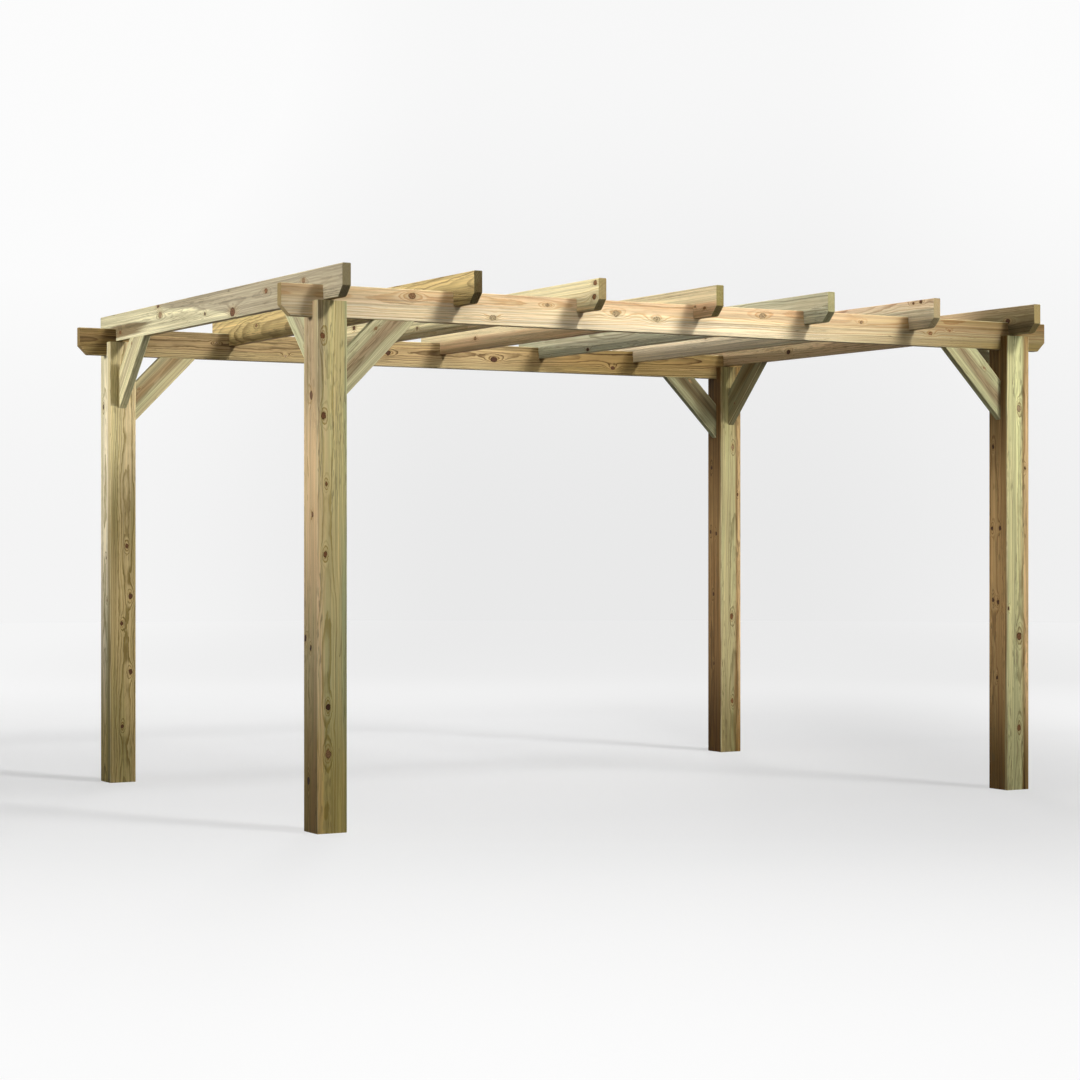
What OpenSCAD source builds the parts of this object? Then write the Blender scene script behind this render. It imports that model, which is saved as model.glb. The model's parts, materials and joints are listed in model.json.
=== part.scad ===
// Garden pergola: four posts, two beams, seven lapped rafters and eight knee braces.
// The beams run along X and the rafters along Y. The frame stands on Z = 0,
// and the origin is the middle of its plan at ground level.

/* [Overall] */
// Length of each beam, end to end
beam_length = 4200; // [3000:50:5400]
// Length of each rafter, end to end
rafter_length = 3000; // [2200:50:4200]
// Height of the rafters' undersides above the ground
rafter_underside = 2280; // [1900:10:2900]

/* [Timber] */
// Side of the square posts
post_side = 140; // [120:1:170]
// Thickness of the beams, rafters and braces
board_thick = 40; // [30:1:60]
// Depth of the beams
beam_depth = 140; // [125:1:200]
// Depth of the rafters
rafter_depth = 140; // [100:1:200]
// Width of the braces across the grain
brace_width = 140; // [90:1:170]
// Width of the flat that eases each long edge, measured along the face
arris = 3; // [1:0.5:6]

/* [Tails] */
// How far the beams run out past the posts
beam_overhang = 145; // [80:5:300]
// How far the rafters run out past the posts
rafter_overhang = 145; // [80:5:300]
// Height and run of the 45 degree cut under each tail
tail_cut = 45; // [10:1:70]

/* [Joints] */
// How deep the rafters and beams are let into one another, both notches together
lap_depth = 64; // [30:2:80]
// Play of a board across its slot or notch, both sides together
joint_play = 1; // [0.4:0.1:3]
// Shadow gap between the top of a post and the rafters' undersides
post_top_gap = 7; // [2:1:15]

/* [Braces] */
// Reach of each brace down its post and out along the timber above
brace_reach = 350; // [300:5:480]

/* [Hidden] */

// Which way a corner lies from the middle of the plan
LEFT = -1;
RIGHT = 1;
FRONT = -1;
BACK = 1;

RAFTERS = 7;
RAFTER_COLOURS = ["#d9d0a6", "#d9b47c", "#dccb9e", "#cdbf92", "#b9b28b", "#cdb48c", "#8f8458"];

// Centres of the posts
post_x = beam_length / 2 - beam_overhang - post_side / 2;
post_y = rafter_length / 2 - rafter_overhang - post_side / 2;

// Heights of the bearing faces
post_top = rafter_underside - post_top_gap;
beam_top = rafter_underside + lap_depth;
beam_underside = beam_top - beam_depth;
lap_face = rafter_underside + lap_depth / 2;

slot_width = board_thick + joint_play;
// Cutters run this far past the faces that they open
past = 10;

// Rafters 1 and 7 stand over the posts, the others are spaced evenly between them
function rafter_x(number) = -post_x + (number - 1) * 2 * post_x / (RAFTERS - 1);

// Cross-section of a timber with eased long edges, centred
module section(width, depth) {
    x = width / 2;
    y = depth / 2;
    polygon([
        [-x + arris, -y], [x - arris, -y], [x, -y + arris], [x, y - arris],
        [x - arris, y], [-x + arris, y], [-x, y - arris], [-x, -y + arris]
    ]);
}

// Board along X, centred in length and thickness, its underside on Z = 0
module board(length, depth) {
    translate([0, 0, depth / 2])
        rotate([90, 0, 90])
            linear_extrude(height = length, center = true)
                section(board_thick, depth);
}

// Board with both lower corners cut away at 45 degrees
module tailed_board(length, depth) {
    end = length / 2;
    intersection() {
        board(length, depth);
        rotate([90, 0, 0])
            linear_extrude(height = board_thick, center = true)
                polygon([
                    [-end + tail_cut, 0], [end - tail_cut, 0], [end, tail_cut],
                    [end, depth], [-end, depth], [-end, tail_cut]
                ]);
    }
}

// Block that opens a slot or notch across a board lying along X
module notch(position, bottom, top) {
    translate([position - slot_width / 2, -board_thick / 2 - past, bottom])
        cube([slot_width, board_thick + 2 * past, top - bottom]);
}

// Square post with an open slot along X in its head, where the beam lies
module post(side, end) {
    color("#c6bd88")
        translate([side * post_x, end * post_y, 0])
            difference() {
                linear_extrude(height = post_top)
                    section(post_side, post_side);
                translate([-post_side / 2 - past, -slot_width / 2, beam_underside])
                    cube([post_side + 2 * past, slot_width, beam_depth]);
            }
}

// Beam through the post heads, notched from above for every rafter
module beam(end, colour) {
    color(colour)
        translate([0, end * post_y, 0])
            difference() {
                translate([0, 0, beam_underside])
                    tailed_board(beam_length, beam_depth);
                for (number = [1 : RAFTERS])
                    notch(rafter_x(number), lap_face, beam_top + past);
            }
}

// Rafter, notched from below over both beams
module rafter(number) {
    color(RAFTER_COLOURS[number - 1])
        translate([rafter_x(number), 0, 0])
            rotate([0, 0, 90])
                difference() {
                    translate([0, 0, rafter_underside])
                        tailed_board(rafter_length, rafter_depth);
                    for (end = [FRONT, BACK])
                        notch(end * post_y, rafter_underside - past, lap_face);
                }
}

// Knee brace in the XZ plane. Its foot bears on the plane X = 0 below the origin,
// and its head bears on the plane Z = 0, out along +X.
module brace() {
    mitre = brace_width * sqrt(2);
    middle = (brace_reach - mitre / 2) / 2;
    color("#a79c74")
        intersection() {
            translate([middle, 0, -middle])
                rotate([0, -45, 0])
                    translate([0, 0, -brace_width / 2])
                        board(2 * brace_reach, brace_width);
            rotate([90, 0, 0])
                linear_extrude(height = board_thick, center = true)
                    polygon([
                        [0, -brace_reach], [brace_reach, 0],
                        [brace_reach - mitre, 0], [0, mitre - brace_reach]
                    ]);
        }
}

// Brace from the inner side of a post up to the beam
module beam_brace(side, end) {
    translate([side * (post_x - post_side / 2), end * post_y, beam_underside])
        rotate([0, 0, side == LEFT ? 0 : 180])
            brace();
}

// Brace from the inner side of a post up to the rafter over it
module rafter_brace(side, end) {
    translate([side * post_x, end * (post_y - post_side / 2), rafter_underside])
        rotate([0, 0, end == FRONT ? 90 : -90])
            brace();
}

post(LEFT, FRONT);  // post_front_left
post(RIGHT, FRONT);  // post_front_right
post(LEFT, BACK);  // post_back_left
post(RIGHT, BACK);  // post_back_right
beam(FRONT, "#dcc091");  // beam_front
beam(BACK, "#a98c5b");  // beam_back
rafter(1);  // rafter_1
rafter(2);  // rafter_2
rafter(3);  // rafter_3
rafter(4);  // rafter_4
rafter(5);  // rafter_5
rafter(6);  // rafter_6
rafter(7);  // rafter_7
beam_brace(LEFT, FRONT);  // beam_brace_front_left
beam_brace(RIGHT, FRONT);  // beam_brace_front_right
beam_brace(LEFT, BACK);  // beam_brace_back_left
beam_brace(RIGHT, BACK);  // beam_brace_back_right
rafter_brace(LEFT, FRONT);  // rafter_brace_front_left
rafter_brace(RIGHT, FRONT);  // rafter_brace_front_right
rafter_brace(LEFT, BACK);  // rafter_brace_back_left
rafter_brace(RIGHT, BACK);  // rafter_brace_back_right
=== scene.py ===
"""Looks of the garden pergola: pressure-treated softwood, a pale studio floor, lamps and the camera.

Every timber keeps its CAD mesh. Its material grows the wood in three dimensions, in the timber's
own frame: the pith, the rings round it, heartwood and sapwood, and knots that push the rings
aside. So the figure on the faces and the rings on the ends belong together.
"""

import json
import math

import bpy
from mathutils import Matrix, Vector

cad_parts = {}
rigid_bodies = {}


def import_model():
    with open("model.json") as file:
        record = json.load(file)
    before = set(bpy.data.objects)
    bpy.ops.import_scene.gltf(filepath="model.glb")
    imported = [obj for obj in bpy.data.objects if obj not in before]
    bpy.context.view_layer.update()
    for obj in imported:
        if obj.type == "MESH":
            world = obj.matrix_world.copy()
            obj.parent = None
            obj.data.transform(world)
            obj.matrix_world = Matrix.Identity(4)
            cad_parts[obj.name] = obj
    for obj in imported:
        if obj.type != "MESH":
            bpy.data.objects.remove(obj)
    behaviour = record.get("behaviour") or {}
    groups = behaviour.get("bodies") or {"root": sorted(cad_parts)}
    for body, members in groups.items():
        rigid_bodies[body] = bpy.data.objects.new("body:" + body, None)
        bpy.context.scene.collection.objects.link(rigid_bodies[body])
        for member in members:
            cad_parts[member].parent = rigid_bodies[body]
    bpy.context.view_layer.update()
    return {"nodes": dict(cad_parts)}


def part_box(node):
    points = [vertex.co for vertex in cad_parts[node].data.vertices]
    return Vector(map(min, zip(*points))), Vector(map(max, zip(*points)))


for thing in list(bpy.data.objects):
    bpy.data.objects.remove(thing)
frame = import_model()
nodes = frame["nodes"]
scene = bpy.context.scene


# ---------------------------------------------------------------- colours


def linear(code):
    """A written colour such as #c9a46b as linear RGBA."""
    channels = []
    for start in (1, 3, 5):
        c = int(code[start : start + 2], 16) / 255
        channels.append(c / 12.92 if c <= 0.04045 else ((c + 0.055) / 1.055) ** 2.4)
    return (*channels, 1.0)


# ---------------------------------------------------------------- node graphs


class Graph:
    """Adds nodes to a tree. A value is a number, a tuple or another node's output."""

    def __init__(self, tree):
        self.tree = tree

    def add(self, kind, **settings):
        node = self.tree.nodes.new(kind)
        for name, value in settings.items():
            setattr(node, name, value)
        return node

    def put(self, socket, value):
        if isinstance(value, bpy.types.NodeSocket):
            self.tree.links.new(value, socket)
        else:
            socket.default_value = value

    def math(self, operation, a, b=0.0, clamp=False):
        node = self.add("ShaderNodeMath", operation=operation, use_clamp=clamp)
        self.put(node.inputs[0], a)
        self.put(node.inputs[1], b)
        return node.outputs[0]

    def plus(self, a, b):
        return self.math("ADD", a, b)

    def minus(self, a, b):
        return self.math("SUBTRACT", a, b)

    def times(self, a, b):
        return self.math("MULTIPLY", a, b)

    def vector(self, operation, a, b=(0, 0, 0)):
        node = self.add("ShaderNodeVectorMath", operation=operation)
        self.put(node.inputs[0], a)
        if operation == "SCALE":
            self.put(node.inputs["Scale"], b)
        elif operation != "LENGTH":
            self.put(node.inputs[1], b)
        scalar = operation in ("LENGTH", "DOT_PRODUCT")
        return node.outputs["Value" if scalar else "Vector"]

    def split(self, vector):
        node = self.add("ShaderNodeSeparateXYZ")
        self.put(node.inputs[0], vector)
        return node.outputs

    def join(self, x, y, z):
        node = self.add("ShaderNodeCombineXYZ")
        for socket, value in zip(node.inputs, (x, y, z)):
            self.put(socket, value)
        return node.outputs[0]

    def ramp(self, value, low, high, to_low=0.0, to_high=1.0, smooth=True):
        """The value carried from low..high to to_low..to_high, and held outside."""
        node = self.add("ShaderNodeMapRange", interpolation_type="SMOOTHSTEP" if smooth else "LINEAR")
        for socket, number in zip(node.inputs[:5], (value, low, high, to_low, to_high)):
            self.put(socket, number)
        return node.outputs[0]

    def noise(self, place, per_metre=(1, 1, 1), detail=2.0, roughness=0.5, colour=False):
        """Noise from 0 to 1 with about so many swells a metre along each axis."""
        node = self.add("ShaderNodeTexNoise")
        self.put(node.inputs["Vector"], self.vector("MULTIPLY", place, per_metre))
        self.put(node.inputs["Scale"], 1.0)
        self.put(node.inputs["Detail"], detail)
        self.put(node.inputs["Roughness"], roughness)
        return node.outputs["Color" if colour else "Fac"]

    def swing(self, noise):
        """A noise whose usual range of 0.3 to 0.7 is carried to -1 to 1."""
        return self.ramp(noise, 0.3, 0.7, -1.0, 1.0, smooth=False)

    def mix(self, share, a, b, blend="MIX"):
        node = self.add("ShaderNodeMix", data_type="RGBA", blend_type=blend)
        self.put(node.inputs[0], share)
        self.put(node.inputs[6], a)
        self.put(node.inputs[7], b)
        return node.outputs[2]

    def tint(self, colour, by):
        return self.mix(1.0, colour, by, blend="MULTIPLY")


def new_group(name, inputs, outputs):
    """A node group, its graph, its input sockets and its output sockets."""
    tree = bpy.data.node_groups.new(name, "ShaderNodeTree")
    for label, kind in inputs:
        tree.interface.new_socket(name=label, in_out="INPUT", socket_type="NodeSocket" + kind)
    for label, kind in outputs:
        tree.interface.new_socket(name=label, in_out="OUTPUT", socket_type="NodeSocket" + kind)
    graph = Graph(tree)
    return tree, graph, graph.add("NodeGroupInput").outputs, graph.add("NodeGroupOutput").inputs


# ---------------------------------------------------------------- one knot

KNOT_RIM = 1.15  # the dark rim ends this many radii from the knot's middle
KNOT_ALONG = 0.72  # a metre along the grain counts as this much, so a knot is longer than wide
KNOT_RAGGED = (0.014, 0.010, 0.010)  # how far its outline wanders
KNOT_SWAY = 2.3  # the grain sways round a knot this much further along the timber than across
SWAY_WIDTH = 1.7  # and fades over this many radii
HALF = (0.5, 0.5, 0.5)


def knot_group():
    """Adds one branch to the sum: X is its body, Y the sway of the grain round it, Z its darkness."""
    tree, g, given, made = new_group(
        "knot",
        [
            ("Place", "Vector"),
            ("Sum", "Vector"),
            ("Middle", "Vector"),
            ("Direction", "Vector"),
            ("Radius", "Float"),
            ("Reach", "Float"),
            ("Tone", "Float"),
        ],
        [("Sum", "Vector")],
    )
    rough = g.vector("SUBTRACT", g.noise(given["Place"], (70, 70, 70), colour=True), HALF)
    away = g.vector("SUBTRACT", given["Place"], given["Middle"])
    away = g.vector("ADD", away, g.vector("MULTIPLY", rough, KNOT_RAGGED))
    depth = g.vector("DOT_PRODUCT", away, given["Direction"])
    aside = g.vector("SUBTRACT", away, g.vector("SCALE", given["Direction"], depth))
    oval = g.vector("LENGTH", g.vector("MULTIPLY", aside, (KNOT_ALONG, 1, 1)))
    body = g.ramp(g.math("DIVIDE", oval, given["Radius"]), 0.0, KNOT_RIM, 1.0, 0.0, smooth=False)
    long_oval = g.vector("LENGTH", g.vector("MULTIPLY", aside, (1 / KNOT_SWAY, 1, 1)))
    spread = g.math("DIVIDE", long_oval, g.times(given["Radius"], SWAY_WIDTH))
    sway = g.math("EXPONENT", g.times(g.times(spread, spread), -1.0))
    inside = g.ramp(g.plus(depth, given["Reach"]), -0.01, 0.004)
    own = g.vector("SCALE", g.join(body, sway, g.times(body, given["Tone"])), inside)
    g.put(made["Sum"], g.vector("ADD", given["Sum"], own))
    return tree


# ---------------------------------------------------------------- the wood

# Noise is counted in swells a metre: along the grain, then twice across it.

PITH_WANDER = (0, 0.05, 0.05)
KNOT_BULGE = -0.016  # added to the radius at a knot, so that the rings swell outwards there
YEARS_PER_METRE = 55.0  # how often the growth turns from wide rings to narrow ones
YEARS_SHIFT = 2.2  # and how many rings' widths it moves them
FEATHER = 0.05  # how far the heartwood's edge wanders
LATE_BY_KNOTS = 0.7  # late wood is drawn this much stronger beside a knot
LINES = 0.24  # how far the thin lines lighten and darken the wood
FIBRES = 0.36  # and the fibres
BLOTCHES = 0.25  # and the broad blotches
# The tint of the painted shade on faces that look downwards.
UNDERSIDE_SHADE_TINT = (0.50, 0.42, 0.30, 1.0)  # linear
FLECK_COLOUR = "#5d5236"
CHECK_COLOUR = "#4a3c22"
CHECK_STRENGTH = 0.6
KNOT_HALO, KNOT_PALE, KNOT_RED, KNOT_BROWN = "#9a7d4c", "#b09c76", "#855a38", "#42281a"
KNOT_SPOKES, KNOT_BARK = "#3a2415", "#2f2011"
END_LATE, SAW_MARKS = "#3d3418", "#776c40"
RUBBED = "#e2d6ab"
ROUGHNESS = 0.60
BUMP_STRENGTH, BUMP_HEIGHT = 0.7, 0.0008


def share_by_wood(g, inner, shares):
    """How far something shows: shares' X on the outer wood, its Y on the inner wood."""
    on_outer, on_inner, _ = g.split(shares)
    return g.ramp(inner, 0.0, 1.0, on_outer, on_inner, smooth=False)


def late_lines(g, given, seeded, along, knot_sway):
    """The rings: pale early wood at 0 rises to a sharp late edge, no two of the same width."""
    pith = g.vector("ADD", given["Pith"], g.vector("SCALE", given["Pith Tilt"], along))
    wander = g.noise(seeded, (0.9, 0.2, 0.2), detail=1.0, colour=True)
    wander = g.vector("MULTIPLY", g.vector("SUBTRACT", wander, HALF), PITH_WANDER)
    out = g.vector("MULTIPLY", g.vector("SUBTRACT", given["Place"], pith), (0, 1, 1))
    radius = g.vector("LENGTH", g.vector("ADD", out, wander))
    loops = g.noise(seeded, (4.5, 16, 16), detail=4.0, roughness=0.52)
    loops = g.times(g.minus(loops, 0.5), given["Loops"])
    radius = g.plus(radius, g.plus(loops, g.times(knot_sway, KNOT_BULGE)))
    years = g.noise(g.join(g.times(radius, YEARS_PER_METRE), given["Ring Width"], 0.0), detail=1.0)
    phase = g.plus(g.math("DIVIDE", radius, given["Ring Width"]), g.times(years, YEARS_SHIFT))
    season = g.math("FRACT", phase)
    late = g.times(g.ramp(season, 0.35, 0.9), g.ramp(season, 0.91, 1.0, 1.0, 0.0))
    ring_luck = g.add("ShaderNodeTexWhiteNoise", noise_dimensions="1D")
    g.put(ring_luck.inputs["W"], g.math("FLOOR", phase))
    return g.times(late, g.ramp(ring_luck.outputs["Value"], 0, 1, 0.4, 1.0, smooth=False))


def heart_and_sap(g, given, seeded, along):
    """The ground colour: sapwood, heartwood round the core, a zone of its own. And where it is heart."""
    blur = given["Core Blur"]
    hard = g.times(blur, -1.0)
    feather = g.noise(seeded, (1.6, 30, 30), detail=3.0)
    feather = g.times(g.minus(feather, 0.5), FEATHER)
    core = g.vector("ADD", given["Core"], g.vector("SCALE", given["Core Tilt"], along))
    core_out = g.vector("MULTIPLY", g.vector("SUBTRACT", given["Place"], core), (0, 1, 1))
    edge = g.plus(g.minus(given["Core Radius"], g.vector("LENGTH", core_out)), feather)
    inner = g.ramp(edge, hard, blur)
    wood = g.mix(inner, given["Outer"], given["Inner"])
    zone_out = g.vector("SUBTRACT", given["Place"], given["Zone"])
    zone_out = g.vector("MULTIPLY", zone_out, g.join(given["Zone Taper"], 1.0, 1.0))
    edge = g.plus(g.minus(given["Zone Radius"], g.vector("LENGTH", zone_out)), feather)
    return g.mix(g.ramp(edge, hard, blur), wood, given["Zone Color"]), inner


def toned(g, given, seeded, wood, inner, blotch, fibre):
    """Blotches of the treatment salt, long streaks, thin lines and fibres."""
    stain = g.times(g.ramp(blotch, 0.42, 0.66), given["Stain Strength"])
    stain = g.times(stain, share_by_wood(g, inner, given["Stain On"]))
    wood = g.mix(stain, wood, given["Stain"])
    streak = g.swing(g.noise(seeded, (0.8, 60, 60), detail=4.0, roughness=0.6))
    lines = g.swing(g.noise(seeded, (1.1, 115, 115), detail=2.0, roughness=0.6))
    tone = g.times(streak, share_by_wood(g, inner, given["Streaks"]))
    tone = g.plus(tone, g.times(lines, LINES))
    tone = g.plus(tone, g.times(g.minus(fibre, 0.5), FIBRES))
    tone = g.plus(tone, g.times(g.minus(blotch, 0.5), BLOTCHES))
    tone = g.plus(tone, 1.0)
    return g.tint(wood, g.join(tone, tone, tone))


def stain_and_shade_along(g, given, along, wood, inner, blotch):
    """Darkens a timber from a start to a stop along it. On the posts and on the beams' left ends this is
    painted shade, in places mixed with the wood's own colour; elsewhere it makes the wood darker towards
    one end.
    """
    blotchy = g.times(g.minus(blotch, 0.5), 0.8)
    for part in ("Tail", "Head"):
        share = g.ramp(along, given[part + " Start"], given[part + " Stop"])
        share = g.math("ADD", share, g.times(blotchy, share), clamp=True)
        share = g.times(share, share_by_wood(g, inner, given[part + " On"]))
        wood = g.mix(share, wood, g.tint(wood, given[part + " Tint"]))
    return wood


def painted_underside_shade(g, wood):
    """Painted shade: faces that look downwards are darkened."""
    facing_up = g.split(g.add("ShaderNodeTexCoord").outputs["Normal"])[2]
    return g.mix(g.ramp(facing_up, -0.75, -0.95), wood, g.tint(wood, UNDERSIDE_SHADE_TINT))


def torn_flecks(g, seeded):
    """Short flecks where the plane tore the grain."""
    fleck = g.noise(seeded, (17, 230, 230), detail=1.5, roughness=0.4)
    patch = g.noise(seeded, (1.5, 24, 24), detail=1.0)
    return g.times(g.ramp(fleck, 0.56, 0.63), g.ramp(patch, 0.47, 0.57))


def drying_checks(g, seeded):
    """Few fine cracks along the grain."""
    check = g.noise(seeded, (1.3, 75, 75), detail=1.0)
    check = g.math("ABSOLUTE", g.minus(check, 0.5))
    sparse = g.noise(seeded, (1.1, 14, 14), detail=0.0)
    return g.times(g.ramp(check, 0.0, 0.010, 1.0, 0.0), g.ramp(sparse, 0.60, 0.66))


def knotted(g, seeded, wood, body, sway, dark):
    """Darker grain round each knot, its body from grey-tan to red-brown, and a broken rim of bark."""
    wood = g.mix(g.times(g.ramp(sway, 0.25, 1.0), 0.42), wood, linear(KNOT_HALO))
    tone = g.math("DIVIDE", dark, g.math("MAXIMUM", body, 0.001))
    colour = g.mix(g.ramp(tone, 0.0, 0.55), linear(KNOT_PALE), linear(KNOT_RED))
    colour = g.mix(g.ramp(tone, 0.55, 1.0), colour, linear(KNOT_BROWN))
    spokes = g.noise(seeded, (230, 230, 230))
    colour = g.mix(g.ramp(spokes, 0.42, 0.7, 0.0, 0.8), colour, linear(KNOT_SPOKES))
    wood = g.mix(g.ramp(body, 0.06, 0.20), wood, colour)
    rim = g.times(g.ramp(body, 0.06, 0.16), g.ramp(body, 0.16, 0.42, 1.0, 0.0))
    rim = g.times(rim, g.ramp(tone, 0.1, 0.8, 0.35, 0.85))
    gaps = g.noise(seeded, (55, 55, 55), detail=1.0)
    rim = g.times(rim, g.ramp(gaps, 0.42, 0.58, 0.25, 1.0))
    return g.mix(rim, wood, linear(KNOT_BARK))


def sawn_ends(g, given, seeded, wood, late, along_share):
    """Sawn ends drink more of the salt: olive, darker, their rings plain to see."""
    rings = g.plus(g.times(late, 0.65), 0.05)
    end_wood = g.mix(rings, given["End"], g.mix(0.6, given["End"], linear(END_LATE)))
    saw = g.noise(seeded, (40, 90, 900), detail=1.0)
    end_wood = g.mix(g.ramp(saw, 0.35, 0.7, 0.0, 0.3), end_wood, linear(SAW_MARKS))
    return g.mix(g.times(g.ramp(along_share, 0.35, 0.8), 0.85), wood, end_wood)


def rubbed_edges(g, seeded, wood, across_share, up_share):
    """The eased edges are rubbed paler here and there."""
    eased = g.times(g.times(across_share, up_share), 2.0)
    rub = g.noise(seeded, (5, 40, 40), detail=3.0)
    rub = g.times(g.ramp(eased, 0.35, 0.9), g.ramp(rub, 0.35, 0.65, 0.05, 0.5))
    return g.mix(rub, wood, linear(RUBBED))


def timber_group():
    """Treated softwood at a place in the timber's own frame: X along the grain, Y and Z across."""
    tree, g, given, made = new_group(
        "timber",
        [
            ("Place", "Vector"),
            ("Facing", "Vector"),
            ("Knots", "Vector"),
            ("Seed", "Vector"),
            ("Pith", "Vector"),
            ("Pith Tilt", "Vector"),
            ("Ring Width", "Float"),
            ("Loops", "Float"),
            ("Core", "Vector"),
            ("Core Tilt", "Vector"),
            ("Core Radius", "Float"),
            ("Core Blur", "Float"),
            ("Outer", "Color"),
            ("Inner", "Color"),
            ("Late", "Color"),
            ("Late Strength", "Float"),
            ("Stain", "Color"),
            ("Stain Strength", "Float"),
            ("Stain On", "Vector"),
            ("Flecks", "Float"),
            ("Streaks", "Vector"),
            ("End", "Color"),
            ("Zone", "Vector"),
            ("Zone Radius", "Float"),
            ("Zone Taper", "Float"),
            ("Zone Color", "Color"),
            ("Tail Tint", "Color"),
            ("Tail Start", "Float"),
            ("Tail Stop", "Float"),
            ("Tail On", "Vector"),
            ("Head Tint", "Color"),
            ("Head Start", "Float"),
            ("Head Stop", "Float"),
            ("Head On", "Vector"),
        ],
        [("Color", "Color"), ("Roughness", "Float"), ("Normal", "Vector")],
    )
    along = g.split(given["Place"])[0]
    seeded = g.vector("ADD", given["Place"], given["Seed"])
    knot_body, knot_sway, knot_dark = g.split(given["Knots"])
    facing = g.split(g.vector("ABSOLUTE", given["Facing"]))
    blotch = g.noise(seeded, (1.0, 15, 15), detail=3.0)
    fibre = g.noise(seeded, (22, 650, 650), detail=2.0, roughness=0.6)
    late = late_lines(g, given, seeded, along, knot_sway)
    fleck = torn_flecks(g, seeded)
    check = drying_checks(g, seeded)

    wood, inner = heart_and_sap(g, given, seeded, along)
    wood = toned(g, given, seeded, wood, inner, blotch, fibre)
    drawn = g.plus(given["Late Strength"], g.times(knot_sway, LATE_BY_KNOTS))
    wood = g.mix(g.times(late, drawn), wood, g.tint(wood, given["Late"]))
    # Painted shade at the posts' feet and heads and on the beams' left ends.
    wood = stain_and_shade_along(g, given, along, wood, inner, blotch)
    # Painted shade under the timbers.
    wood = painted_underside_shade(g, wood)
    wood = g.mix(g.times(fleck, given["Flecks"]), wood, linear(FLECK_COLOUR))
    wood = g.mix(g.times(check, CHECK_STRENGTH), wood, linear(CHECK_COLOUR))
    wood = knotted(g, seeded, wood, knot_body, knot_sway, knot_dark)
    wood = sawn_ends(g, given, seeded, wood, late, facing[0])
    wood = rubbed_edges(g, seeded, wood, facing[1], facing[2])
    g.put(made["Color"], wood)

    matt = g.plus(g.times(fibre, 0.18), ROUGHNESS)
    matt = g.minus(matt, g.times(late, 0.08))
    matt = g.minus(matt, g.times(g.ramp(knot_body, 0.1, 0.4), 0.12))
    g.put(made["Roughness"], matt)

    height = g.plus(g.times(fibre, 0.5), g.times(late, 0.35))
    height = g.minus(height, g.times(fleck, 0.5))
    height = g.minus(height, g.times(check, 1.6))
    height = g.plus(height, g.times(knot_body, 0.6))
    bump = g.add("ShaderNodeBump")
    g.put(bump.inputs["Strength"], BUMP_STRENGTH)
    g.put(bump.inputs["Distance"], BUMP_HEIGHT)
    g.put(bump.inputs["Height"], height)
    g.put(made["Normal"], bump.outputs["Normal"])
    return tree


KNOT = knot_group()
TIMBER = timber_group()
SHEEN = 0.12  # dry sawn wood hardly shines


def wood_material(name, middle, grain, across, knots, looks):
    """A timber's own material. Knots are (place, direction, radius, reach, tone) in its own frame."""
    material = bpy.data.materials.new(name)
    material.use_nodes = True
    tree = material.node_tree
    tree.nodes.clear()
    g = Graph(tree)
    grain, across = Vector(grain).normalized(), Vector(across)
    turn = Matrix((grain, across, grain.cross(across))).transposed().to_euler()
    coordinates = g.add("ShaderNodeTexCoord").outputs
    place = g.add("ShaderNodeMapping", vector_type="TEXTURE")
    g.put(place.inputs["Vector"], coordinates["Object"])
    g.put(place.inputs["Location"], middle)
    g.put(place.inputs["Rotation"], turn)
    facing = g.add("ShaderNodeMapping", vector_type="TEXTURE")
    g.put(facing.inputs["Vector"], coordinates["Normal"])
    g.put(facing.inputs["Rotation"], turn)
    total = (0, 0, 0)
    for spot, direction, radius, reach, knot_tone in knots:
        knot = g.add("ShaderNodeGroup", node_tree=KNOT)
        values = (place.outputs[0], total, spot, direction, radius, reach, knot_tone)
        for socket, value in zip(knot.inputs, values):
            g.put(socket, value)
        total = knot.outputs[0]
    wood = g.add("ShaderNodeGroup", node_tree=TIMBER)
    g.put(wood.inputs["Place"], place.outputs[0])
    g.put(wood.inputs["Facing"], facing.outputs[0])
    g.put(wood.inputs["Knots"], total)
    for label, value in looks.items():
        g.put(wood.inputs[label], value)
    shader = g.add("ShaderNodeBsdfPrincipled")
    shader.inputs["Specular IOR Level"].default_value = SHEEN
    g.put(shader.inputs["Base Color"], wood.outputs["Color"])
    g.put(shader.inputs["Roughness"], wood.outputs["Roughness"])
    g.put(shader.inputs["Normal"], wood.outputs["Normal"])
    g.put(g.add("ShaderNodeOutputMaterial").inputs["Surface"], shader.outputs[0])
    return material


# ---------------------------------------------------------------- the timbers

POST_HALF = 0.070
BOARD_HALF = 0.020
BRACE_HALF_WIDTH = 0.070
FACES = {"front": (0, 0, -1), "left": (0, -1, 0)}  # outward from a post, in its own frame
NOWHERE = 10.0  # further along than any timber reaches

# A look is made of these. Places are in the timber's own frame, in metres. The tail and head tints
# grow from start to stop along the timber, and "On" says how far on the outer and the inner wood.

PLAIN = {
    "Ring Width": 0.0055,
    "Loops": 0.012,
    "Pith": (0, 0.0, 0.0),
    "Pith Tilt": (0, 0.006, 0.004),
    "Core": (0, 0.0, 0.0),
    "Core Tilt": (0, 0.0, 0.0),
    "Core Radius": 0.0,
    "Core Blur": 0.010,
    "Late Strength": 0.75,
    "Stain Strength": 0.45,
    "Stain On": (1, 1, 0),
    "Flecks": 0.4,
    "Streaks": (0.15, 0.15, 0),
    "End": "#a39a62",
    "Zone": (0, 0.0, 0.0),
    "Zone Radius": -1.0,
    "Zone Taper": 0.0,
    "Zone Color": "#c8b88a",
    "Tail Tint": "#ffffff",
    "Tail Start": NOWHERE,
    "Tail Stop": NOWHERE + 1.0,
    "Tail On": (1, 1, 0),
    "Head Tint": "#ffffff",
    "Head Start": NOWHERE,
    "Head Stop": NOWHERE + 1.0,
    "Head On": (1, 1, 0),
}

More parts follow.
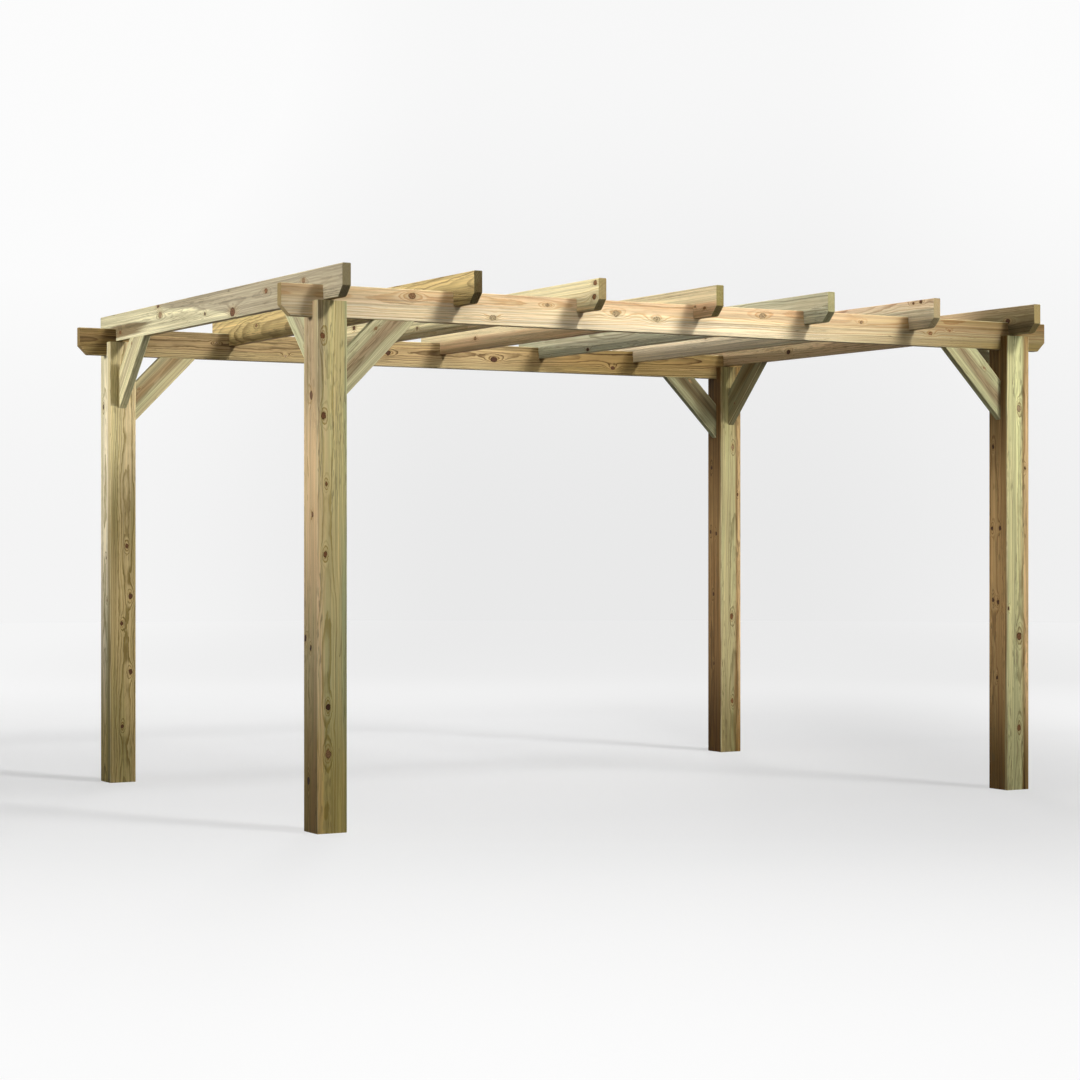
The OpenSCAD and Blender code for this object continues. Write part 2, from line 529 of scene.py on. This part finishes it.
# The braces come from one batch: green sapwood with a brown heart stripe.
BRACE = {
    "Outer": "#bdb58c",
    "Inner": "#a08968",
    "Late": "#8e8158",
    "Stain": "#a9ad86",
    "Core Radius": 0.034,
    "Core Blur": 0.012,
    "Loops": 0.010,
    "Ring Width": 0.0042,
}

# Post knots are (face, height, across the face, radius, darkness), with the face's left edge
# at -0.07 on the front and the front edge at -0.07 on the left.
POSTS = {
    "post_front_left": (
        {
            "Outer": "#d0be86",
            "Inner": "#d6b98f",
            "Late": "#98803f",
            "Stain": "#b3b27e",
            "Pith": (0, -0.030, 0.020),
            "Core": (0, -0.085, 0.010),
            "Core Radius": 0.090,
            # Painted shade: darker towards the foot.
            "Tail Tint": "#ede1c4",
            "Tail Start": 0.75,
            "Tail Stop": 0.10,
            "Zone": (0, 0.085, -0.030),
            "Zone Radius": 0.050,
            "Zone Color": "#b4b688",
            "Flecks": 0.55,
            # Towards the top the inner wood darkens: partly its own colour, partly painted shade under the
            # beam's end.
            "Head Tint": "#d0d4d7",
            "Head On": (0, 1, 0),
            "Head Start": 1.55,
            "Head Stop": 2.00,
        },
        [
            ("front", 2.12, -0.045, 0.010, 0.7),
            ("front", 1.78, -0.040, 0.0105, 0.75),
            ("front", 1.49, -0.028, 0.007, 0.6),
            ("front", 1.19, -0.033, 0.0095, 0.7),
            ("front", 0.54, -0.019, 0.010, 1.0),
            ("front", 0.34, -0.019, 0.013, 0.4),
            ("left", 1.87, -0.008, 0.014, 0.8),
            ("left", 1.36, -0.022, 0.009, 0.7),
            ("left", 0.83, 0.052, 0.010, 1.0),
            ("left", 0.79, -0.004, 0.009, 1.0),
            ("left", 0.22, 0.020, 0.012, 1.0),
        ],
    ),
    "post_back_left": (
        {
            "Outer": "#d6c193",
            "Inner": "#eee0c0",
            "Late": "#84703f",
            "Late Strength": 0.9,
            "Stain": "#a3a06c",
            "Pith": (0, 0.015, 0.010),
            "Core": (0, -0.125, 0.020),
            "Core Radius": 0.085,
            "Loops": 0.018,
            # Painted shade: the wood darkens towards the foot, the outer wood from just below the top
            # downwards.
            "Tail Tint": "#f9edb3",
            "Tail Start": 0.75,
            "Tail Stop": 0.10,
            "Tail On": (0.1, 1, 0),
            "Head Tint": "#c4bfab",
            "Head On": (1, 0.1, 0),
            "Head Start": 1.85,
            "Head Stop": 1.25,
        },
        [
            ("front", 1.22, 0.021, 0.009, 0.8),
            ("front", 0.96, 0.041, 0.011, 0.9),
            ("front", 0.82, -0.007, 0.008, 0.9),
            ("front", 0.57, 0.042, 0.010, 0.9),
            ("front", 0.29, -0.004, 0.008, 0.9),
            ("left", 1.16, -0.012, 0.006, 0.6),
            ("left", 0.94, -0.027, 0.006, 0.6),
            ("left", 1.94, 0.030, 0.009, 0.9),
        ],
    ),
    "post_front_right": (
        {
            "Outer": "#9f7f52",
            "Inner": "#d2cb95",
            "Late": "#6f5230",
            "Stain": "#c3c794",
            "Stain On": (0.1, 1, 0),
            "Pith": (0, 0.010, 0.030),
            "Core": (0, -0.022, -0.105),
            "Core Radius": 0.062,
            "Flecks": 0.7,
            "Streaks": (0.42, 0.17, 0),
            "Late Strength": 0.85,
            "Zone": (0, 0.090, -0.040),
            "Zone Radius": 0.052,
            "Zone Color": "#e0bf8a",
            # Painted shade, mostly on the outer wood: darker towards the foot, and towards the top where
            # braces and rafters shade it.
            "Tail Tint": "#a9a086",
            "Tail Start": 0.65,
            "Tail Stop": 0.05,
            "Tail On": (1, 0.3, 0),
            "Head Tint": "#a9a086",
            "Head On": (1, 0.1, 0),
            "Head Start": 1.55,
            "Head Stop": 2.50,
        },
        [
            ("front", 1.91, 0.005, 0.013, 0.2),
            ("front", 1.61, 0.046, 0.006, 0.8),
            ("front", 0.77, 0.007, 0.014, 0.7),
            ("front", 0.91, -0.062, 0.006, 0.9),
            ("front", 0.31, 0.007, 0.012, 0.5),
            ("left", 1.72, 0.038, 0.008, 1.0),
            ("left", 1.31, 0.045, 0.008, 1.0),
            ("left", 1.31, -0.016, 0.009, 1.0),
            ("left", 0.95, 0.038, 0.009, 1.0),
            ("left", 0.94, -0.001, 0.009, 1.0),
            ("left", 0.56, 0.007, 0.007, 1.0),
        ],
    ),
    "post_back_right": (
        {
            "Outer": "#8c6c44",
            "Inner": "#b5a97b",
            "Late": "#614728",
            "Stain": "#b2b685",
            "Stain On": (0.1, 1, 0),
            "Pith": (0, 0.012, 0.026),
            "Core": (0, -0.020, -0.105),
            "Core Radius": 0.062,
            "Flecks": 0.7,
            "Streaks": (0.42, 0.17, 0),
            "Late Strength": 0.85,
            "Zone": (0, 0.090, -0.040),
            "Zone Radius": 0.052,
            "Zone Color": "#d9b884",
            # Painted shade: darker towards the foot, and towards the top where braces and rafters shade it.
            "Tail Tint": "#a59878",
            "Tail Start": 0.65,
            "Tail Stop": 0.05,
            "Tail On": (1, 0.7, 0),
            "Head Tint": "#ada082",
            "Head On": (1, 0.8, 0),
            "Head Start": 1.50,
            "Head Stop": 2.40,
        },
        [
            ("front", 1.80, 0.012, 0.010, 0.3),
            ("front", 1.52, 0.048, 0.006, 0.8),
            ("front", 0.80, 0.005, 0.012, 0.7),
            ("front", 0.30, 0.010, 0.010, 0.6),
            ("left", 1.68, 0.030, 0.008, 1.0),
            ("left", 1.30, 0.040, 0.008, 1.0),
            ("left", 1.29, -0.020, 0.008, 1.0),
            ("left", 0.93, 0.010, 0.009, 1.0),
            ("left", 0.52, 0.005, 0.007, 1.0),
        ],
    ),
}

# Board knots run through the board: (along, up from the middle, radius, darkness). Along is
# from the middle, towards the right on a beam and towards the front on a rafter.
BOARDS = {
    "beam_front": (
        {
            "End": "#8f7a4c",
            "Outer": "#e0d0ae",
            "Inner": "#d4b68e",
            "Late": "#bf9664",
            "Stain": "#d8c394",
            "Pith": (0, 0.055, 0.045),
            "Core": (0, 0.030, 0.060),
            "Core Radius": 0.070,
            "Core Blur": 0.020,
            "Ring Width": 0.0065,
            "Flecks": 0.15,
            "Tail Tint": "#8f8661",
            "Tail Start": 0.1,
            "Tail Stop": 2.2,
            # Painted shadow of the first rafter's end: the beam's left end darker.
            "Head Start": -1.55,
            "Head Stop": -2.50,
            "Head Tint": "#aca592",
        },
        [
            (-1.48, 0.041, 0.014, 0.40),
            (-1.08, -0.037, 0.012, 0.10),
            (-0.80, 0.033, 0.008, 0.25),
            (-0.44, 0.011, 0.014, 0.15),
            (-0.22, -0.006, 0.013, 0.05),
            (0.37, 0.036, 0.013, 0.2),
            (0.95, 0.031, 0.007, 0.3),
            (1.37, -0.006, 0.009, 0.45),
            (1.49, 0.012, 0.006, 0.45),
        ],
    ),
    "beam_back": (
        {
            "End": "#8a7146",
            "Outer": "#ad9a6f",
            "Inner": "#9c845c",
            "Late": "#523a1e",
            "Late Strength": 1.0,
            "Stain": "#9d8a5c",
            "Pith": (0, 0.045, 0.020),
            "Core": (0, 0.045, 0.020),
            "Core Radius": 0.080,
            "Core Blur": 0.020,
            "Ring Width": 0.0060,
            "Streaks": (0.24, 0.24, 0),
            # Painted shade on the left end; darker from the middle towards the right.
            "Tail Tint": "#d3cbb3",
            "Tail Start": -1.6,
            "Tail Stop": -2.0,
            "Head Start": 0.2,
            "Head Stop": 0.9,
            "Head Tint": "#d3cbb3",
        },
        [
            (0.32, -0.009, 0.015, 1.0),
            (-0.34, 0.003, 0.012, 1.0),
            (-1.35, 0.020, 0.007, 0.2),
            (1.10, -0.030, 0.011, 0.9),
            (-0.95, -0.035, 0.007, 0.2),
        ],
    ),
    "rafter_1": (
        {
            "Outer": "#dcd3ab",
            "Inner": "#ab9f84",
            "Late": "#978b6d",
            "Late Strength": 0.5,
            "Stain": "#9a8c6c",
            "Stain Strength": 0.35,
            "Pith": (0, 0.030, 0.004),
            "Pith Tilt": (0, 0.010, 0.008),
            "Core": (0, 0.000, 0.286),
            "Core Tilt": (0, 0.0, -0.12),
            "Core Radius": 0.300,
            "Core Blur": 0.008,
            "Loops": 0.016,
            "End": "#827553",
            "Zone": (-1.20, 0.0, -0.018),
            "Zone Radius": 0.039,
            "Zone Taper": 0.08,
            "Zone Color": "#847353",
        },
        [
            (-0.66, 0.064, 0.012, 0.8),
            (-0.63, 0.015, 0.016, 0.25),
            (-0.04, -0.026, 0.008, 0.9),
            (0.30, -0.044, 0.021, 0.75),
            (0.69, 0.019, 0.012, 0.6),
            (1.10, 0.030, 0.012, 0.35),
            (-1.20, -0.030, 0.010, 0.7),
        ],
    ),
    "rafter_2": (
        {
            # Its near-black end is end grain with painted shade.
            "End": "#1d1606",
            "Outer": "#cdb47c",
            "Inner": "#b08a56",
            "Late": "#5f4018",
            "Late Strength": 0.75,
            "Stain": "#b9a76f",
            "Pith": (0, 0.125, -0.005),
            "Pith Tilt": (0, -0.045, 0.010),
            "Core": (0, 0.050, -0.010),
            "Core Radius": 0.060,
            "Ring Width": 0.0080,
            "Loops": 0.012,
            "Streaks": (0.2, 0.2, 0),
        },
        [(0.95, 0.020, 0.011, 0.6), (0.10, -0.030, 0.009, 0.2), (-0.90, 0.010, 0.009, 0.4)],
    ),
    "rafter_3": (
        {
            "End": "#8c7543",
            "Outer": "#e3d6aa",
            "Inner": "#d9c193",
            "Late": "#c3ab79",
            "Stain": "#d9d2a4",
            "Pith": (0, 0.040, -0.060),
            "Core": (0, 0.030, -0.080),
            "Core Radius": 0.060,
            "Ring Width": 0.0065,
            "Flecks": 0.15,
            "Streaks": (0.30, 0.30, 0),
            "Late Strength": 0.85,
        },
        [
            (1.47, 0.051, 0.012, 0.6),
            (1.46, -0.011, 0.012, 0.6),
            (0.60, 0.010, 0.009, 0.3),
            (-0.30, -0.020, 0.008, 0.3),
            (-1.05, 0.035, 0.012, 0.8),
        ],
    ),
    "rafter_4": (
        {
            "End": "#776c2c",
            "Outer": "#dccba2",
            "Inner": "#d8b78e",
            "Late": "#c09c70",
            "Late Strength": 0.7,
            "Stain": "#d3c89b",
            "Pith": (0, -0.010, -0.090),
            "Core": (0, 0.000, -0.060),
            "Core Radius": 0.060,
            "Flecks": 0.15,
            "Streaks": (0.24, 0.24, 0),
        },
        [
            (1.40, -0.028, 0.008, 0.6),
            (1.32, -0.015, 0.006, 0.3),
            (0.30, 0.030, 0.009, 0.3),
            (-0.85, -0.010, 0.010, 0.4),
        ],
    ),
    "rafter_5": (
        {
            "End": "#98905f",
            "Outer": "#dad7b9",
            "Inner": "#b9b092",
            "Late": "#8b8566",
            "Stain": "#a7ac8b",
            "Pith": (0, -0.120, 0.020),
            "Core": (0, -0.080, 0.030),
            "Core Radius": 0.080,
            "Core Blur": 0.020,
            "Loops": 0.006,
            "Streaks": (0.30, 0.30, 0),
        },
        [(0.85, -0.020, 0.009, 0.4), (-0.15, 0.030, 0.008, 0.4), (-0.72, -0.055, 0.010, 0.9)],
    ),
    "rafter_6": (
        {
            "End": "#a08c62",
            "Outer": "#dfcfaf",
            "Inner": "#dbb896",
            "Late": "#b09070",
            "Late Strength": 0.8,
            "Stain": "#c9bf9a",
            "Pith": (0, 0.050, 0.060),
            "Core": (0, 0.030, 0.080),
            "Core Radius": 0.060,
            "Core Blur": 0.015,
            "Flecks": 0.2,
            "Streaks": (0.24, 0.24, 0),
        },
        [
            (1.40, 0.060, 0.009, 0.8),
            (1.34, 0.056, 0.007, 0.8),
            (0.55, -0.020, 0.009, 0.4),
            (-0.50, 0.020, 0.008, 0.4),
        ],
    ),
    "rafter_7": (
        {
            "End": "#a8935f",
            "Outer": "#cdb18a",
            "Inner": "#c2a27a",
            "Late": "#9c7e55",
            "Late Strength": 0.7,
            "Stain": "#c0ae84",
            "Pith": (0, 0.040, 0.000),
            "Core": (0, 0.030, 0.000),
            "Core Radius": 0.050,
            "Core Blur": 0.015,
            "Streaks": (0.16, 0.16, 0),
            "Tail Tint": "#a7aba2",
            "Tail Start": 0.85,
            "Tail Stop": 1.15,
        },
        [(1.30, 0.000, 0.012, 0.9), (0.55, 0.020, 0.011, 0.8), (-0.60, -0.030, 0.012, 0.9)],
    ),
}


def timber_looks(special):
    """The plain look with a timber's own values, its colours as linear RGBA."""
    looks = {**PLAIN, **special}
    looks = {label: linear(value) if isinstance(value, str) else value for label, value in looks.items()}
    # Late wood darkens whatever it crosses by as much as its colour lies under the outer wood's.
    looks["Late"] = tuple(min(late / outer, 1.0) for late, outer in zip(looks["Late"], looks["Outer"]))
    return looks


def dress(node, order, middle, grain, across, knots, special):
    """Gives a CAD node its own wood."""
    looks = timber_looks(special)
    looks["Seed"] = (3.7 * order, 1.9 * order, 5.3 * order)
    material = wood_material("wood_" + node, middle, grain, across, knots, looks)
    mesh = nodes[node].data
    mesh.materials.clear()
    mesh.materials.append(material)
    for polygon in mesh.polygons:
        polygon.material_index = 0


def middle_of(node):
    """The middle of a node's box."""
    low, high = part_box(node)
    return (low + high) / 2


KNOT_REACH = 0.050  # how deep a post's knot goes
THROUGH = 1.0  # a board's knots go right through
RIGHT_WAY, BACK_WAY, UP_WAY = Vector((1, 0, 0)), Vector((0, 1, 0)), Vector((0, 0, 1))

order = 0
for node, (special, spots) in POSTS.items():
    order += 1
    middle = middle_of(node)
    middle.z = 0
    knots = []
    for face, height, across, radius, darkness in spots:
        outward = FACES[face]
        spot = [height, across, across]
        spot[1 if outward[1] else 2] = POST_HALF * (outward[1] + outward[2])
        knots.append((spot, outward, radius, KNOT_REACH, darkness))
    dress(node, order, middle, UP_WAY, RIGHT_WAY, knots, special)

for node, (special, spots) in BOARDS.items():
    order += 1
    knots = []
    for number, (along, up, radius, darkness) in enumerate(spots):
        lean = 0.25 * math.sin(2.1 * number + order)
        through = Vector((lean, 1, 0.6 * lean)).normalized()
        face = Vector((along, -BOARD_HALF, up))
        knots.append((face, through, radius, THROUGH, darkness))
    is_beam = node.startswith("beam")
    grain, across = (RIGHT_WAY, BACK_WAY) if is_beam else (-BACK_WAY, RIGHT_WAY)
    dress(node, order, middle_of(node), grain, across, knots, special)

BRACES = {
    "beam_brace_front_left": {"Outer": "#c3bb92", "Inner": "#a18b6a"},
    "beam_brace_front_right": {"Outer": "#b3ab80", "Inner": "#917f5e"},
    "beam_brace_back_left": {"Outer": "#b0a57e", "Inner": "#8b7553"},
    "beam_brace_back_right": {"Outer": "#6b6246", "Inner": "#564930"},
    "rafter_brace_front_left": {"Outer": "#b9b48f", "Inner": "#a59476"},
    "rafter_brace_front_right": {"Outer": "#a59d7c", "Inner": "#8f8065"},
    "rafter_brace_back_left": {"Outer": "#ddd3a4", "Inner": "#c3b690"},
    "rafter_brace_back_right": {"Outer": "#7f724f", "Inner": "#6b5936"},
}
BRACE_KNOT_RADIUS, BRACE_KNOT_TONE = 0.006, 0.35

for node, colours in BRACES.items():
    order += 1
    middle = middle_of(node)
    if node.startswith("beam"):
        inward, across = RIGHT_WAY * (-1 if middle.x > 0 else 1), BACK_WAY
    else:
        inward, across = BACK_WAY * (-1 if middle.y > 0 else 1), RIGHT_WAY
    # The middle of a brace's box lies on its long edge, half a width outside the middle of its band.
    middle = middle + (UP_WAY - inward).normalized() * BRACE_HALF_WIDTH
    shift = 0.006 * math.sin(1.7 * order)
    special = {**BRACE, **colours, "Core": (0, 0.0, shift), "Pith": (0, 0.012, shift)}
    spot = (0.12 * math.sin(2.3 * order), -BOARD_HALF, 0.045 * math.cos(3.1 * order))
    knots = [(spot, (0, 1, 0), BRACE_KNOT_RADIUS, THROUGH, BRACE_KNOT_TONE)]
    dress(node, order, middle, inward + UP_WAY, across, knots, special)

# Planed timber has no knife edges: a fine rounding on top of the eased arrises.
EDGE_ROUND = 0.0012
WELD_REACH = 0.00002
FLAT_WITHIN, SHARP_FROM = math.radians(1), math.radians(30)
for node in nodes.values():
    weld = node.modifiers.new("weld", "WELD")
    weld.merge_threshold = WELD_REACH
    flats = node.modifiers.new("flats", "DECIMATE")
    flats.decimate_type = "DISSOLVE"
    flats.angle_limit = FLAT_WITHIN
    bevel = node.modifiers.new("edge_round", "BEVEL")
    bevel.width = EDGE_ROUND
    bevel.segments = 2
    bevel.limit_method = "ANGLE"
    bevel.angle_limit = SHARP_FROM
    bevel.harden_normals = True


# ---------------------------------------------------------------- floor and backdrop

ROOM_RADIUS = 26.0
ROOM_BACKWARD = (0.493, 0.870, 0.0)  # the room is turned with the view
ROOM_RIGHTWARD = (0.870, -0.493, 0.0)


def ray_is_seen(g):
    """1 on rays that show the ground to the camera, straight or through a reflection."""
    path = g.add("ShaderNodeLightPath").outputs
    seen = g.math("MAXIMUM", path["Is Camera Ray"], path["Is Glossy Ray"])
    return g.math("MAXIMUM", seen, path["Is Transmission Ray"])


# Each fade is (start, stop) in metres from the origin along one way of the room.
NEAR_FADE = (0.6, -5.2)
FRONT_FADE = (-4.2, -6.7)
FAR_FADE = (0.5, 9.0)
LEFT_FADE = (-1.0, -7.0)
RIGHT_FADE = (3.5, 8.0)
KEY_FADE = (1.8, 4.2)
KEY_END = (3.0, 10.0)
HIGH_FADE = (1.0, 9.0)
WIDE_FADE = (4.5, 9.0)
FRONT_RISE, LEFT_RISE, RIGHT_RISE, KEY_RISE, HIGH_RISE = 0.12, 0.09, 0.055, 0.24, 0.12
WIDE_GREY = 0.89
WHITEST = 0.97


def ground_material(name, lit, seen_lit, base, near, far):
    """Matt ground with a grey of its own for the camera under the lamps' light and shadow.

    The grey is base, rises by near towards the front and by far towards the back, and by a
    little to both sides, upwards, and on the right where the key lamp's light ends.
    """
    material = bpy.data.materials.new(name)
    material.use_nodes = True
    tree = material.node_tree
    tree.nodes.clear()
    g = Graph(tree)
    place = g.add("ShaderNodeTexCoord").outputs["Object"]
    depth = g.vector("DOT_PRODUCT", place, ROOM_BACKWARD)
    across = g.vector("DOT_PRODUCT", place, ROOM_RIGHTWARD)
    height = g.split(place)[2]
    grey = g.plus(g.ramp(depth, *NEAR_FADE, 0.0, near), g.ramp(depth, *FRONT_FADE, 0.0, FRONT_RISE * near))
    grey = g.plus(grey, g.ramp(depth, *FAR_FADE, 0.0, far))
    sides = g.plus(g.ramp(across, *LEFT_FADE, 0.0, LEFT_RISE), g.ramp(across, *RIGHT_FADE, 0.0, RIGHT_RISE))
    beyond_key = g.times(g.ramp(across, *KEY_FADE, 0.0, KEY_RISE), g.ramp(depth, *KEY_END, 1.0, 0.0))
    sides = g.plus(sides, beyond_key)
    grey = g.plus(grey, g.plus(sides, g.ramp(height, *HIGH_FADE, 0.0, HIGH_RISE)))
    wide = g.ramp(g.math("ABSOLUTE", across), *WIDE_FADE, 0.0, WIDE_GREY)
    grey = g.math("MAXIMUM", g.plus(grey, base), wide)
    grey = g.math("MINIMUM", grey, WHITEST)
    glow = g.add("ShaderNodeEmission")
    g.put(glow.inputs["Color"], g.join(grey, grey, grey))
    seen = ray_is_seen(g)
    g.put(glow.inputs["Strength"], seen)
    matt = g.add("ShaderNodeBsdfDiffuse")
    shade = g.ramp(seen, 0.0, 1.0, lit, seen_lit, smooth=False)
    g.put(matt.inputs["Color"], g.join(shade, shade, shade))
    both = g.add("ShaderNodeAddShader")
    g.put(both.inputs[0], matt.outputs[0])
    g.put(both.inputs[1], glow.outputs[0])
    g.put(g.add("ShaderNodeOutputMaterial").inputs["Surface"], both.outputs[0])
    return material


bpy.ops.mesh.primitive_circle_add(radius=ROOM_RADIUS, vertices=96, fill_type="NGON")
floor = bpy.context.object
floor.name = "floor"
floor_grey = ground_material("floor", lit=0.32, seen_lit=0.30, base=0.50, near=0.36, far=0.31)
floor.data.materials.append(floor_grey)

bpy.ops.mesh.primitive_uv_sphere_add(radius=ROOM_RADIUS, segments=64, ring_count=32)
dome = bpy.context.object
dome.name = "backdrop"
# The backdrop is only seen. It neither lights nor shades the pergola.
dome.visible_diffuse = False
dome.visible_shadow = False
dome_grey = ground_material("backdrop", lit=0.0, seen_lit=0.0, base=0.815, near=0.13, far=0.0)
dome.data.materials.append(dome_grey)


# ---------------------------------------------------------------- lamps and camera


def softbox(name, azimuth, elevation, distance, aim, size, spread, watts):
    """A rectangular lamp that looks at aim from that azimuth (0 is the front, 90 the right)."""
    a, e = math.radians(azimuth), math.radians(elevation)
    back = Vector((math.sin(a) * math.cos(e), -math.cos(a) * math.cos(e), math.sin(e)))
    lamp = bpy.data.lights.new(name, "AREA")
    lamp.shape = "RECTANGLE"
    lamp.size, lamp.size_y = size
    lamp.spread = math.radians(spread)
    lamp.energy = watts
    holder = bpy.data.objects.new(name, lamp)
    holder.location = Vector(aim) + back * distance
    holder.rotation_euler = (-back).to_track_quat("-Z", "Y").to_euler()
    scene.collection.objects.link(holder)


# Name, azimuth, elevation, distance, aim, size, spread and watts.
softbox("key", 25, 36, 14, (0.3, -0.6, 3.2), (4.5, 2.5), 30, 125)
softbox("front", -20, 30, 12, (0, -0.4, 3.3), (2.5, 2.5), 25, 20)
softbox("left", -90, 8.5, 14, (0.27, 0, 1.83), (4.4, 2.1), 14, 35)
softbox("right", 15, 20, 7, (1.9, -1.3, 1.25), (1.5, 1.5), 40, 9)
softbox("fill", -30, 6, 10, (0, 0, 1.6), (3, 3), 180, 46)
softbox("back", 150, 13, 18, (0, 0, 1.7), (4, 3), 40, 75)
softbox("top", 0, 90, 6, (0, 0, 2.2), (6, 6), 180, 18)

AMBIENT = 0.05
world = bpy.data.worlds.new("studio")
scene.world = world
world.use_nodes = True
world.node_tree.nodes.clear()
sky = Graph(world.node_tree)
background = sky.add("ShaderNodeBackground")
background.inputs["Color"].default_value = (1, 1, 1, 1)
background.inputs["Strength"].default_value = AMBIENT
sky.put(sky.add("ShaderNodeOutputWorld").inputs["Surface"], background.outputs[0])

# The camera as fitted to the photograph: level, a little above a metre, from the front left.
CAMERA_PLACE = (-6.342, -11.020, 1.251)
CAMERA_TURN = math.radians(-29.53)
LEVEL = math.radians(90)
SENSOR_MM, LENS_MM = 36.0, 82.94
lens = bpy.data.cameras.new("camera")
lens.sensor_width = SENSOR_MM
lens.lens = LENS_MM
camera = bpy.data.objects.new("camera", lens)
camera.location = CAMERA_PLACE
camera.rotation_euler = (LEVEL, 0, CAMERA_TURN)
scene.collection.objects.link(camera)
scene.camera = camera
scene.view_settings.view_transform = "Standard"
